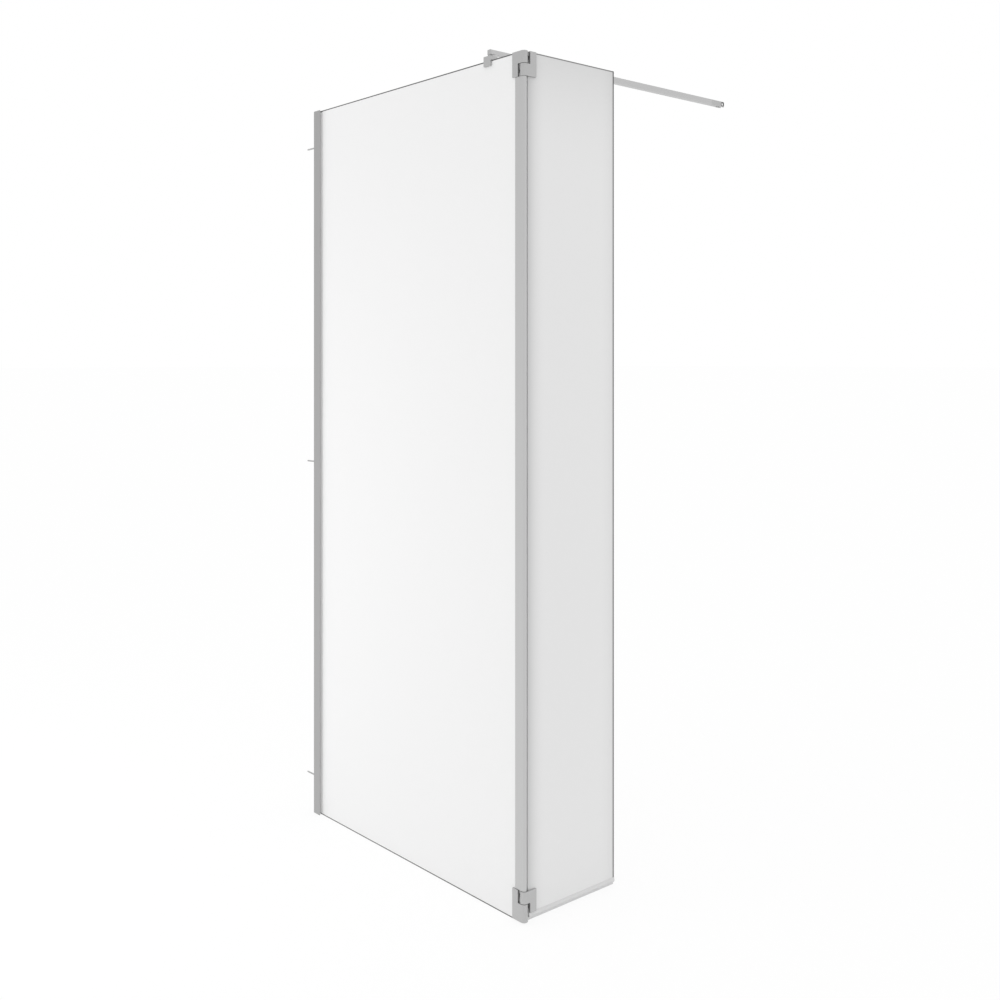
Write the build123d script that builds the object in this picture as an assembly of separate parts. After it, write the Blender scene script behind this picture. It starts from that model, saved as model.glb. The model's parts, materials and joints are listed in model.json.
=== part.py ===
from build123d import *
import os

# Walk-in shower screen: a glass panel in a wall channel, a hinged return panel and a brace bar.
# Millimetres, +Z up. The origin is on the wall face at floor level, in the middle of the main glass.
# +X runs along the main glass away from the wall, +Y runs along the return glass into the shower.

# Overall
HEIGHT = 2000.0  # floor to the top of both glasses
GLASS_T = 8.0
GLASS_ARRIS = 0.8  # ground bevel on the glass edges
HINGE_X = 880.0  # wall face to the hinge axis
RETURN_REACH = 294.3  # hinge axis to the free edge of the return glass
RETURN_FOOT = 13.0  # floor to the bottom of the return glass
SEAT = 0.3  # gap between pieces that only lie near each other
PRESS_GAP = 0.02  # radial gap of a pin, bush or thread in its hole
RUN_GAP = 0.05  # radial or axial gap of a turning fit
CORNER = 0.8  # rounded edge of an extruded profile
EDGE = 0.5  # broken edge of a machined piece

# Wall channel and its screws
CHANNEL_DEPTH = 31.0
CHANNEL_HALF = 13.0
CHANNEL_WALL = 2.0
WALL_SCREW_INSET = 100.0  # channel end to the nearest wall screw
WALL_SCREW_R = 2.25
WALL_SCREW_OUT = 57.0  # how far a screw stands out of the wall face
WALL_SCREW_POINT = 6.0
WALL_SCREW_TIP_R = 0.3
WALL_SCREW_HEAD_R = 4.2
WALL_SCREW_HEAD_H = 3.0
WALL_SCREW_HEAD_BEVEL = 1.0
WALL_SLOT_LENGTH = 12.0
WALL_SLOT_WIDTH = 6.0

# Glass channel, sliding in the wall channel
TRAVEL = 15.0
SLIDE_GAP = 0.3
GLASS_CHANNEL_WALL = 1.7
GLASS_CHANNEL_BACK = 5.8  # wall face to the back of the glass channel
GLASS_CHANNEL_MOUTH = 30.0  # wall face to its mouth
CHANNEL_END_GAP = 6.0  # the glass channel and its seals stop this short at top and bottom
CHANNEL_SEAL_DEPTH = 13.0
CHANNEL_SEAL_NOSE = 0.6  # how far a seal stands out of the mouth
CHANNEL_SEAL_LIP = 2.0
CHANNEL_SEAL_GROOVE = 1.2

# Adjusting screws through the inner leg of the wall channel
ADJUST_INSET = 200.0  # channel end to the nearest adjusting screw
ADJUST_OFFSET = 50.0  # the middle adjusting screw above the middle wall screw
ADJUST_X = 9.0
ADJUST_R = 1.9
ADJUST_HEAD_R = 3.8
ADJUST_HEAD_H = 2.2
ADJUST_TIP = 1.2  # how far the tip stands inside the glass channel's leg
CAP_R = 5.2
CAP_H = 3.8
CAP_WALL = 0.9
CAP_BEVEL = 1.0
HEX_SOCKET = 2.5
HEX_DEPTH = 1.4

# Corner hinges: u runs from the hinge axis along a leaf, v across it
BARREL_R = 9.2
LEAF_REACH = 30.8
KNUCKLE_CLEAR = 11.2  # axis to what passes beside the other half's knuckle
PLATE_T = 4.2
PAD_T = 1.0
PAD_INSET = 0.5
TOP_HINGE_HEIGHT = 58.0
TOP_HINGE_SPLIT = 29.0  # top of the glass down to the line between the knuckles
BOTTOM_HINGE_FOOT = 4.0  # floor to the bottom hinge
BOTTOM_HINGE_HEIGHT = 70.5
BOTTOM_HINGE_SPLIT = 42.0  # foot of the hinge up to the line between the knuckles
WASHER_T = 1.0
WASHER_R = 7.5
PIN_R = 3.0
PIN_END = 1.5  # pin end below the outer end of the knuckle that holds it
PIN_REACH = 26.0  # how far the pin stands into the turning knuckle
BUSH_R = 4.5
SCREW_R = 2.4
SCREW_HEAD_R = 4.6
SCREW_HEAD_H = 2.4
SCREW_U = 20.5
SCREW_INSET = 14.0  # leaf end to the nearest screw
SCREW_SKIN = 1.2  # metal left under a screw's blind hole
GLASS_SLOT_R = 5.0

# Corner strip between the hinges
STRIP_HALF = 6.8
STRIP_START = 22.6  # hinge axis to the edge of its legs
STRIP_WEB = 2.2
STRIP_WALL = 1.8
RETURN_EDGE = 8.6  # hinge axis to the near edge of the return glass

# Drip seal under the return glass
SEAL_GRIP = 9.5
SEAL_LEG = 1.0
SEAL_BASE = 1.5
SEAL_BLADE_T = 1.6
SEAL_BLADE_FOOT = 4.0  # floor to the blade's edge
SEAL_FIN_FLARE = 1.6
SEAL_FIN_FOOT = 14.5  # floor to the fin's tip
SEAL_FIN_T = 0.7
SEAL_FIN_ROOT = 20.5

# Brace clamp on the top edge of the main glass
CLAMP_SETBACK = 121.2  # hinge axis back to the middle of the clamp and the bar
CLAMP_WIDTH = 25.0
CLAMP_JAW_T = 4.0
CLAMP_INNER_T = 7.0
CLAMP_GRIP = 14.0  # how far the clamp reaches down the glass
CLAMP_BRIDGE_T = 9.0
CLAMP_PAD_T = 1.0
PRESSURE_PLATE_T = 2.0
PRESSURE_SLACK = 0.5
SET_SCREW_R = 3.0
SET_SCREW_DROP = 7.0  # top of the glass down to the set screws
SET_SCREW_PITCH = 12.0

# Brace bar, the inner half of the brace, and what carries it
BAR_SIDE = 12.2
BAR_WALL = 1.2
BAR_ROUND = 1.5
BAR_FRONT = -2.2  # main glass's middle to the front face of the bar
BAR_OVERLAP = 340.0  # how far the bar stands in the tube
BAR_CAP_T = 2.0
END_BLOCK_LENGTH = 24.0
BAR_PLUG_LENGTH = 12.0
FIT_GAP = 0.15  # gap all round a block in its tube
PIVOT_R = 5.5
PIVOT_GAP = 4.7  # clamp top to the underside of the bar
PIVOT_SCREW_R = 2.5
PIVOT_HEAD_R = 4.5
PIVOT_HEAD_H = 2.5
PIVOT_THREAD = 7.5

# Brace tube, which slides over the bar, and the fork in its far end
BRACE_REACH = 874.7  # main glass's middle to the far end of the fork
TUBE_LENGTH = 518.8
TUBE_WALL = 1.4
TUBE_ROUND = 2.2
LOCK_SCREW_INSET = 15.0  # near end of the tube to the lock screw
LOCK_SCREW_R = 2.0
LOCK_HEAD_R = 3.6
LOCK_HEAD_H = 3.0
FORK_LENGTH = 55.9  # the part of the fork that shows
FORK_PLUG = 30.0  # how far the fork stands in the tube
FORK_WALL = 2.5
FORK_CORNER = 2.5
FORK_SLOT_DEPTH = 28.7
EYE_INSET = 8.7  # far end of the fork to the middle of the eye
EYE_R = 4.3
EYE_BUSH_R = 5.3
EYE_BUSH_LIP = 0.5
EYE_BUSH_LIP_R = 6.3
FORK_SCREW_R = 1.9
FORK_SCREW_HEAD_R = 3.2
FORK_SCREW_LENGTH = 6.0
FORK_SCREW_INSET = 14.8  # far end of the tube to the fork screw

# Derived places
WALL_SCREW_Z = [WALL_SCREW_INSET, HEIGHT / 2, HEIGHT - WALL_SCREW_INSET]
ADJUST_Z = [ADJUST_INSET, HEIGHT / 2 + ADJUST_OFFSET, HEIGHT - ADJUST_INSET]
TOP_HINGE_FOOT = HEIGHT - TOP_HINGE_HEIGHT
BOTTOM_HINGE_HEAD = BOTTOM_HINGE_FOOT + BOTTOM_HINGE_HEIGHT
GLASS_HALF = GLASS_T / 2
CHANNEL_INSIDE = CHANNEL_HALF - CHANNEL_WALL
GLASS_CHANNEL_HALF = CHANNEL_INSIDE - SLIDE_GAP
GLASS_CHANNEL_INSIDE = GLASS_CHANNEL_HALF - GLASS_CHANNEL_WALL
GLASS_START = GLASS_CHANNEL_BACK + GLASS_CHANNEL_WALL + SEAT
CUT_BACK = KNUCKLE_CLEAR + SEAT  # hinge axis to the glass beside a knuckle
PAD_FACE = GLASS_HALF + PAD_T
PLATE_FACE = PAD_FACE + PLATE_T
CLAMP_X = HINGE_X - CLAMP_SETBACK
CLAMP_FRONT = GLASS_HALF + CLAMP_PAD_T  # glass middle to the front wall of the clamp's slot
CLAMP_BACK = GLASS_HALF + CLAMP_PAD_T + PRESSURE_PLATE_T + PRESSURE_SLACK  # and to its back wall
CLAMP_TOP = HEIGHT + CLAMP_PAD_T + CLAMP_BRIDGE_T
SET_SCREW_X = [CLAMP_X - SET_SCREW_PITCH / 2, CLAMP_X + SET_SCREW_PITCH / 2]
PIVOT_Y = (CLAMP_BACK - CLAMP_FRONT) / 2
BAR_FOOT = CLAMP_TOP + PIVOT_GAP
BAR_Z = BAR_FOOT + BAR_SIDE / 2
BAR_START = BAR_FRONT + BAR_CAP_T
TUBE_END = BRACE_REACH - FORK_LENGTH
TUBE_START = TUBE_END - TUBE_LENGTH
BAR_END = TUBE_START + BAR_OVERLAP
LOCK_SCREW_Y = TUBE_START + LOCK_SCREW_INSET
FORK_SCREW_Y = TUBE_END - FORK_SCREW_INSET
EYE_Y = BRACE_REACH - EYE_INSET
TUBE_SIDE = BAR_SIDE + 2 * SLIDE_GAP + 2 * TUBE_WALL
TUBE_FOOT = BAR_Z - TUBE_SIDE / 2
TUBE_HEAD = BAR_Z + TUBE_SIDE / 2
LEAF_LOWEST = RETURN_FOOT + SEAL_GRIP + SEAT  # a return leaf ends above the drip seal
FAR = 2 * HEIGHT  # longer than anything it cuts


def block(x, y, z):
    """A box between the low and high values given for each axis."""
    low = Pos(x[0], y[0], z[0])
    return low * Box(x[1] - x[0], y[1] - y[0], z[1] - z[0], align=(Align.MIN, Align.MIN, Align.MIN))


def rod(radius, start, end):
    """A round bar from one point to another."""
    along = Vector(*end) - Vector(*start)
    upright = Cylinder(radius, along.length, align=(Align.CENTER, Align.CENTER, Align.MIN))
    return Plane(origin=start, z_dir=along) * upright


def cone(radius, end_radius, start, end):
    """A tapered round bar from one point to another."""
    along = Vector(*end) - Vector(*start)
    upright = Cone(radius, end_radius, along.length, align=(Align.CENTER, Align.CENTER, Align.MIN))
    return Plane(origin=start, z_dir=along) * upright


def hex_socket(start, end):
    """The six-sided recess in a screw head, from its mouth to its floor."""
    along = Vector(*end) - Vector(*start)
    flat = Plane(origin=start, z_dir=along) * RegularPolygon(HEX_SOCKET / 2, 6, major_radius=False)
    return extrude(flat, along.length, dir=along)


def area(x, y):
    """A rectangle in plan between the low and high values given for each axis."""
    middle = Pos((x[0] + x[1]) / 2, (y[0] + y[1]) / 2)
    return middle * Rectangle(x[1] - x[0], y[1] - y[0])


def upright(plan, low, high):
    """A plan outline raised between two heights."""
    return Pos(0, 0, low) * extrude(plan, high - low, dir=(0, 0, 1))


def break_ends(solid, size):
    """Bevel the outlines of a solid's lowest and highest faces."""
    faces = solid.faces().sort_by(Axis.Z)
    rims = faces[0].outer_wire().edges() + faces[-1].outer_wire().edges()
    return chamfer(rims, size)


def gather(solids):
    """Separate solids that share one node."""
    return Compound(children=list(solids))


# Wall channel


def wall_channel():
    plan = area((0, CHANNEL_DEPTH), (-CHANNEL_HALF, CHANNEL_HALF))
    plan = fillet(plan.vertices(), CORNER)
    plan -= area((CHANNEL_WALL, FAR), (-CHANNEL_INSIDE, CHANNEL_INSIDE))
    channel = upright(plan, 0, HEIGHT)
    slot_face = Plane.YZ
    for z in WALL_SCREW_Z:
        slot = slot_face * Pos(0, z) * SlotOverall(WALL_SLOT_LENGTH, WALL_SLOT_WIDTH, rotation=90)
        channel -= extrude(slot, CHANNEL_DEPTH, dir=(1, 0, 0))
    half_width = ADJUST_R + SLIDE_GAP
    for z in ADJUST_Z:
        middle = ADJUST_X + TRAVEL / 2
        slot = Plane.XZ * Pos(middle, z) * SlotOverall(TRAVEL + 2 * half_width, 2 * half_width)
        channel -= extrude(slot, 2 * CHANNEL_HALF, dir=(0, 1, 0))
    return channel


def wall_screw(z):
    seat = CHANNEL_WALL
    point = -WALL_SCREW_OUT
    head = rod(WALL_SCREW_HEAD_R, (seat, 0, z), (seat + WALL_SCREW_HEAD_H, 0, z))
    head = chamfer(head.edges().sort_by(Axis.X)[-1], WALL_SCREW_HEAD_BEVEL)
    shank = rod(WALL_SCREW_R, (seat, 0, z), (point + WALL_SCREW_POINT, 0, z))
    tip = cone(WALL_SCREW_R, WALL_SCREW_TIP_R, (point + WALL_SCREW_POINT, 0, z), (point, 0, z))
    mouth = (seat + WALL_SCREW_HEAD_H, 0, z)
    floor = (seat + WALL_SCREW_HEAD_H - HEX_DEPTH, 0, z)
    return head + shank + tip - hex_socket(mouth, floor)


def wall_screws():
    return gather(wall_screw(z) for z in WALL_SCREW_Z)


# Glass channel and seals


def glass_channel():
    plan = area((GLASS_CHANNEL_BACK, GLASS_CHANNEL_MOUTH), (-GLASS_CHANNEL_HALF, GLASS_CHANNEL_HALF))
    plan = fillet(plan.vertices(), EDGE)
    inside = GLASS_CHANNEL_BACK + GLASS_CHANNEL_WALL
    plan -= area((inside, FAR), (-GLASS_CHANNEL_INSIDE, GLASS_CHANNEL_INSIDE))
    channel = upright(plan, CHANNEL_END_GAP, HEIGHT - CHANNEL_END_GAP)
    for z in ADJUST_Z:
        channel -= rod(ADJUST_R + PRESS_GAP, (ADJUST_X, 0, z), (ADJUST_X, CHANNEL_HALF, z))
    return channel


def channel_seal(side):
    """A two-lipped strip between the glass and a leg of its channel: side -1 is the outer one."""
    mouth = GLASS_CHANNEL_MOUTH
    root = mouth - CHANNEL_SEAL_DEPTH
    leg = GLASS_CHANNEL_INSIDE
    bevel = (leg - GLASS_HALF) / 2
    plan = Polygon(
        (root, leg),
        (root, GLASS_HALF + bevel),
        (root + bevel, GLASS_HALF),
        (mouth + CHANNEL_SEAL_NOSE, GLASS_HALF),
        (mouth + CHANNEL_SEAL_NOSE, leg - CHANNEL_SEAL_NOSE),
        (mouth, leg),
        align=None,
    )
    groove = (root + bevel + CHANNEL_SEAL_LIP, mouth - CHANNEL_SEAL_LIP)
    plan -= area(groove, (0, GLASS_HALF + CHANNEL_SEAL_GROOVE))
    if side < 0:
        plan = mirror(plan, Plane.XZ)
    return upright(plan, CHANNEL_END_GAP, HEIGHT - CHANNEL_END_GAP)


def adjust_screw(z):
    seat = CHANNEL_HALF + SLIDE_GAP
    tip = GLASS_CHANNEL_INSIDE - ADJUST_TIP
    top = seat + ADJUST_HEAD_H
    head = rod(ADJUST_HEAD_R, (ADJUST_X, seat, z), (ADJUST_X, top, z))
    head = chamfer(head.edges().sort_by(Axis.Y)[-1], EDGE)
    shank = rod(ADJUST_R, (ADJUST_X, tip, z), (ADJUST_X, seat, z))
    return head + shank - hex_socket((ADJUST_X, top, z), (ADJUST_X, top - HEX_DEPTH, z))


def adjust_screws():
    return gather(adjust_screw(z) for z in ADJUST_Z)


def adjust_cap(z):
    seat = CHANNEL_HALF + SLIDE_GAP
    dome = rod(CAP_R, (ADJUST_X, seat, z), (ADJUST_X, seat + CAP_H, z))
    dome = chamfer(dome.edges().sort_by(Axis.Y)[-1], CAP_BEVEL)
    return dome - rod(CAP_R - CAP_WALL, (ADJUST_X, 0, z), (ADJUST_X, seat + CAP_H - CAP_WALL, z))


def adjust_screw_caps():
    return gather(adjust_cap(z) for z in ADJUST_Z)


# Corner hinges. A half is built along +X, with its outer side at outer * Y, and then turned into place.


class Hinge:
    """The heights of one hinge: its leaves, its knuckles and the washer between them."""

    def __init__(self, foot, head, split, main_above):
        self.foot = foot
        self.head = head
        self.leaf_foot = max(foot, LEAF_LOWEST)
        below = (foot, split - WASHER_T / 2)
        above = (split + WASHER_T / 2, head)
        self.washer = (below[1], above[0])
        # the turning half's knuckle keeps a running gap to the washer, which lies on the main one
        if main_above:
            self.main_knuckle = above
            self.return_knuckle = (below[0], below[1] - RUN_GAP)
            self.pin = (above[0] - PIN_REACH, above[1] - PIN_END)
        else:
            self.main_knuckle = below
            self.return_knuckle = (above[0] + RUN_GAP, above[1])
            self.pin = (below[0] + PIN_END, below[1] + PIN_REACH)

    def screw_heights(self, foot):
        return [foot + SCREW_INSET, self.head - SCREW_INSET]


TOP = Hinge(TOP_HINGE_FOOT, HEIGHT, HEIGHT - TOP_HINGE_SPLIT, main_above=True)
BOTTOM_SPLIT_Z = BOTTOM_HINGE_FOOT + BOTTOM_HINGE_SPLIT
BOTTOM = Hinge(BOTTOM_HINGE_FOOT, BOTTOM_HINGE_HEAD, BOTTOM_SPLIT_Z, main_above=False)


def on_main(half):
    """Turn a half so that it runs from the hinge axis back along the main glass."""
    return Pos(HINGE_X, 0, 0) * Rot(0, 0, 180) * half


def on_return(half):
    """Turn a half so that it runs from the hinge axis along the return glass."""
    return Pos(HINGE_X, 0, 0) * Rot(0, 0, 90) * half


def hinge_leaf(outer, foot, head, knuckle, hole_r, screw_z):
    """Knuckle and outer plate of one hinge half, in one piece."""
    faces = sorted((outer * PAD_FACE, outer * PLATE_FACE))
    end = 0 if outer < 0 else -1
    barrel = Circle(BARREL_R) + area((0, KNUCKLE_CLEAR - SEAT), (-BARREL_R, BARREL_R))
    leaf = break_ends(upright(barrel, *knuckle), EDGE)
    for start, heights in ((0, knuckle), (KNUCKLE_CLEAR, (foot, head))):
        plan = area((start, LEAF_REACH), faces)
        plan = fillet(plan.vertices().group_by(Axis.X)[-1].sort_by(Axis.Y)[end], CORNER)
        leaf += break_ends(upright(plan, *heights), EDGE)
    leaf -= rod(hole_r, (0, 0, knuckle[0]), (0, 0, knuckle[1]))
    for z in screw_z:
        floor = outer * (PLATE_FACE - SCREW_SKIN)
        leaf -= rod(SCREW_R + PRESS_GAP, (SCREW_U, 0, z), (SCREW_U, floor, z))
    return leaf


def hinge_plate(outer, foot, head, screw_z):
    """The plate that clamps the glass from the inner side."""
    faces = sorted((-outer * PAD_FACE, -outer * PLATE_FACE))
    plan = area((CUT_BACK, LEAF_REACH), faces)
    outer_end = plan.vertices().group_by(Axis.X)[-1].sort_by(Axis.Y)[-1 if outer < 0 else 0]
    plan = fillet(outer_end, CORNER)
    plate = break_ends(upright(plan, foot, head), EDGE)
    for z in screw_z:
        face = -outer * PLATE_FACE
        under = -outer * (PLATE_FACE - SCREW_HEAD_H)
        plate -= rod(SCREW_R + SEAT, (SCREW_U, 0, z), (SCREW_U, face, z))
        plate -= cone(SCREW_HEAD_R, SCREW_R + SEAT, (SCREW_U, face, z), (SCREW_U, under, z))
    return plate


def hinge_pads(foot, head, screw_z):
    """The gaskets between the glass and the two plates."""
    pads = []
    for side in (-1, 1):
        faces = sorted((side * GLASS_HALF, side * PAD_FACE))
        pad = upright(area((CUT_BACK, LEAF_REACH - PAD_INSET), faces), foot + PAD_INSET, head - PAD_INSET)
        for z in screw_z:
            pad -= rod(SCREW_R + SEAT, (SCREW_U, -FAR, z), (SCREW_U, FAR, z))
        pads.append(pad)
    return pads


def hinge_screw(outer, z):
    """A countersunk screw from the inner plate, through the glass, into the outer plate."""
    face = -outer * (PLATE_FACE - PRESS_GAP)
    under = -outer * (PLATE_FACE - SCREW_HEAD_H)
    tip = outer * (PLATE_FACE - SCREW_SKIN - SEAT)
    head = cone(SCREW_HEAD_R - SEAT, SCREW_R, (SCREW_U, face, z), (SCREW_U, under, z))
    shank = rod(SCREW_R, (SCREW_U, under, z), (SCREW_U, tip, z))
    floor = -outer * (PLATE_FACE - HEX_DEPTH)
    return head + shank - hex_socket((SCREW_U, face, z), (SCREW_U, floor, z))


def hinge_parts(name, hinge):
    """Every piece of one hinge, by node name."""
    parts = {}
    halves = [
        ("main", on_main, 1, hinge.foot, hinge.main_knuckle, PIN_R + PRESS_GAP),
        ("return", on_return, -1, hinge.leaf_foot, hinge.return_knuckle, BUSH_R + PRESS_GAP),
    ]
    for half, place, outer, foot, knuckle, hole_r in halves:
        screw_z = hinge.screw_heights(foot)
        leaf = hinge_leaf(outer, foot, hinge.head, knuckle, hole_r, screw_z)
        parts[f"{name}_hinge_{half}_leaf"] = place(leaf)
        parts[f"{name}_hinge_{half}_plate"] = place(hinge_plate(outer, foot, hinge.head, screw_z))
        pads = hinge_pads(foot, hinge.head, screw_z)
        parts[f"{name}_hinge_{half}_pads"] = gather(place(pad) for pad in pads)
        screws = [hinge_screw(outer, z) for z in screw_z]
        parts[f"{name}_hinge_{half}_screws"] = gather(place(screw) for screw in screws)
    axis = Pos(HINGE_X, 0, 0)
    pin = break_ends(upright(Circle(PIN_R), *hinge.pin), EDGE)
    parts[f"{name}_hinge_pin"] = axis * pin
    bush = upright(Circle(BUSH_R) - Circle(PIN_R + RUN_GAP), *hinge.return_knuckle)
    parts[f"{name}_hinge_bush"] = axis * bush
    washer = upright(Circle(WASHER_R) - Circle(PIN_R + RUN_GAP), *hinge.washer)
    parts[f"{name}_hinge_washer"] = axis * washer
    return parts


# Glasses


def glass_panel(x, y, z):
    """A glass plate with ground bevels on all its edges."""
    plate = block(x, y, z)
    return chamfer(plate.edges(), GLASS_ARRIS)


def main_glass():
    glass = glass_panel((GLASS_START, HINGE_X - CUT_BACK), (-GLASS_HALF, GLASS_HALF), (0, HEIGHT))
    for hinge in (TOP, BOTTOM):
        for z in hinge.screw_heights(hinge.foot):
            slot = block((0, SCREW_U), (-GLASS_T, GLASS_T), (z - GLASS_SLOT_R, z + GLASS_SLOT_R))
            slot += rod(GLASS_SLOT_R, (SCREW_U, -GLASS_T, z), (SCREW_U, GLASS_T, z))
            glass -= on_main(slot)
    return glass


def return_glass():
    width = (HINGE_X - GLASS_HALF, HINGE_X + GLASS_HALF)
    glass = glass_panel(width, (RETURN_EDGE, RETURN_REACH), (RETURN_FOOT, HEIGHT))
    for hinge in (TOP, BOTTOM):
        notch = block((0, CUT_BACK), (-GLASS_T, GLASS_T), (hinge.foot - SEAT, hinge.head + SEAT))
        glass -= on_return(notch)
        for z in hinge.screw_heights(hinge.leaf_foot):
            slot = block((0, SCREW_U), (-GLASS_T, GLASS_T), (z - GLASS_SLOT_R, z + GLASS_SLOT_R))
            slot += rod(GLASS_SLOT_R, (SCREW_U, -GLASS_T, z), (SCREW_U, GLASS_T, z))
            glass -= on_return(slot)
    return glass


def corner_strip():
    """The hollow profile on the end of the main glass, its nose round about the hinge axis."""
    legs = area((0, STRIP_START), (-STRIP_HALF, STRIP_HALF))
    grip = area((CUT_BACK, FAR), (-GLASS_HALF, GLASS_HALF))
    inside = STRIP_HALF - STRIP_WALL
    hollow = Circle(inside) + area((0, CUT_BACK - STRIP_WEB), (-inside, inside))
    plan = Circle(STRIP_HALF) + legs - grip - hollow
    return on_main(upright(plan, BOTTOM_HINGE_HEAD + SEAT, TOP_HINGE_FOOT - SEAT))


def return_drip_seal():
    """Clip, outward fin and wiping blade under the return glass."""
    clip_half = GLASS_HALF + SEAL_LEG
    base_foot = RETURN_FOOT - SEAL_BASE
    section = Plane.XZ * area((-clip_half, clip_half), (base_foot, RETURN_FOOT + SEAL_GRIP))
    section -= Plane.XZ * area((-GLASS_HALF, GLASS_HALF), (RETURN_FOOT, FAR))
    fin = Polygon(
        (clip_half - SEAL_LEG / 2, SEAL_FIN_ROOT - 2 * SEAL_FIN_T),
        (clip_half + SEAL_FIN_FLARE - SEAL_FIN_T, SEAL_FIN_FOOT),
        (clip_half + SEAL_FIN_FLARE, SEAL_FIN_FOOT),
        (clip_half - SEAL_LEG / 2, SEAL_FIN_ROOT),
        align=None,
    )
    section += Plane.XZ * fin
    blade = area((-SEAL_BLADE_T / 2, SEAL_BLADE_T / 2), (SEAL_BLADE_FOOT, RETURN_FOOT))
    section += Plane.XZ * blade
    return Pos(HINGE_X, CUT_BACK, 0) * extrude(section, RETURN_REACH - CUT_BACK, dir=(0, 1, 0))


# Brace clamp


def brace_clamp_body():
    """A saddle over the glass edge, with the set screws in its back wall and the pivot in its bridge."""
    side = (CLAMP_X - CLAMP_WIDTH / 2, CLAMP_X + CLAMP_WIDTH / 2)
    depth = (-CLAMP_FRONT - CLAMP_JAW_T, CLAMP_BACK + CLAMP_INNER_T)
    body = block(side, depth, (HEIGHT - CLAMP_GRIP, CLAMP_TOP))
    body = chamfer(body.edges(), EDGE)
    bridge = HEIGHT + CLAMP_PAD_T
    body -= block((0, FAR), (-CLAMP_FRONT, CLAMP_BACK), (0, bridge))
    for x in SET_SCREW_X:
        z = HEIGHT - SET_SCREW_DROP
        body -= rod(SET_SCREW_R + PRESS_GAP, (x, CLAMP_BACK, z), (x, FAR, z))
    recess = bridge + PIVOT_HEAD_H + SEAT
    body -= rod(PIVOT_SCREW_R + RUN_GAP, (CLAMP_X, PIVOT_Y, bridge), (CLAMP_X, PIVOT_Y, FAR))
    return body - rod(PIVOT_HEAD_R + SEAT, (CLAMP_X, PIVOT_Y, bridge), (CLAMP_X, PIVOT_Y, recess))


def brace_clamp_pads():
    """Pads in front of, behind and above the glass."""
    side = (CLAMP_X - CLAMP_WIDTH / 2 + EDGE, CLAMP_X + CLAMP_WIDTH / 2 - EDGE)
    drop = (HEIGHT - CLAMP_GRIP + EDGE, HEIGHT)
    front = block(side, (-CLAMP_FRONT, -GLASS_HALF), drop)
    back = block(side, (GLASS_HALF, GLASS_HALF + CLAMP_PAD_T), drop)
    top = block(side, (-GLASS_HALF, GLASS_HALF), (HEIGHT, HEIGHT + CLAMP_PAD_T))
    return gather([front, back, top])


def brace_clamp_jaw():
    """The plate that the set screws press against the back pad."""
    side = (CLAMP_X - CLAMP_WIDTH / 2 + EDGE, CLAMP_X + CLAMP_WIDTH / 2 - EDGE)
    face = GLASS_HALF + CLAMP_PAD_T
    plate = block(side, (face, face + PRESSURE_PLATE_T), (HEIGHT - CLAMP_GRIP + EDGE, HEIGHT - EDGE))
    return chamfer(plate.edges().filter_by(Axis.Y), EDGE)


def brace_clamp_screw(x):
    face = CLAMP_BACK - PRESSURE_SLACK
    z = HEIGHT - SET_SCREW_DROP
    end = CLAMP_BACK + CLAMP_INNER_T
    screw = rod(SET_SCREW_R, (x, face, z), (x, end, z))
    screw = chamfer(screw.edges().sort_by(Axis.Y)[-1], EDGE)
    return screw - hex_socket((x, end, z), (x, end - HEX_DEPTH, z))


def brace_clamp_screws():
    return gather(brace_clamp_screw(x) for x in SET_SCREW_X)


# Brace bar


def square_section(side, corner):
    """A square with rounded corners, across the bar and centred on it."""
    outline = Rectangle(side, side)
    return fillet(outline.vertices(), corner)


def tube_section(side, wall, corner):
    return square_section(side, corner) - square_section(side - 2 * wall, corner - wall)


def along_bar(section, start, end):
    """A section extruded along the bar."""
    face = Plane(origin=(CLAMP_X, start, BAR_Z), x_dir=(1, 0, 0), z_dir=(0, 1, 0)) * section
    return extrude(face, end - start, dir=(0, 1, 0))


def pivot_rod(radius, low, high):
    """A round bar on the pivot's axis."""
    return rod(radius, (CLAMP_X, PIVOT_Y, low), (CLAMP_X, PIVOT_Y, high))


def brace_bar():
    bar = along_bar(tube_section(BAR_SIDE, BAR_WALL, BAR_ROUND), BAR_START, BAR_END)
    return bar - pivot_rod(PIVOT_SCREW_R + SEAT, BAR_FOOT, BAR_FOOT + BAR_WALL)


def bar_plug(face, start, length, outward):
    """A cap on an end of the bar with a body inside it: outward is -1 at the front, 1 at the far end."""
    inside = BAR_SIDE - 2 * BAR_WALL - 2 * FIT_GAP
    cap = along_bar(square_section(BAR_SIDE, BAR_ROUND), *sorted((face, start)))
    cap = chamfer(cap.faces().sort_by(Axis.Y)[0 if outward < 0 else -1].edges(), EDGE)
    return cap + along_bar(square_section(inside, EDGE), *sorted((start, start - outward * length)))


def brace_end_block():
    """The plug in the bar's front end: its cap closes the bar, the pivot screw threads into its body."""
    block_body = bar_plug(BAR_FRONT, BAR_START, END_BLOCK_LENGTH, -1)
    foot = BAR_FOOT + BAR_WALL
    return block_body - pivot_rod(PIVOT_SCREW_R + PRESS_GAP, BAR_FOOT, foot + PIVOT_THREAD)


def brace_bar_plug():
    """The guide in the bar's far end, inside the tube."""
    return bar_plug(BAR_END + BAR_CAP_T, BAR_END, BAR_PLUG_LENGTH, 1)


def brace_pivot_screw():
    """The screw that hangs the bar on the clamp and that it turns about."""
    seat = HEIGHT + CLAMP_PAD_T + SEAT
    shoulder = seat + PIVOT_HEAD_H
    tip = BAR_FOOT + BAR_WALL + PIVOT_THREAD - SEAT
    screw = pivot_rod(PIVOT_HEAD_R, seat, shoulder - RUN_GAP) + pivot_rod(PIVOT_SCREW_R, seat, tip)
    mouth = (CLAMP_X, PIVOT_Y, seat)
    return screw - hex_socket(mouth, (CLAMP_X, PIVOT_Y, seat + HEX_DEPTH))


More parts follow.
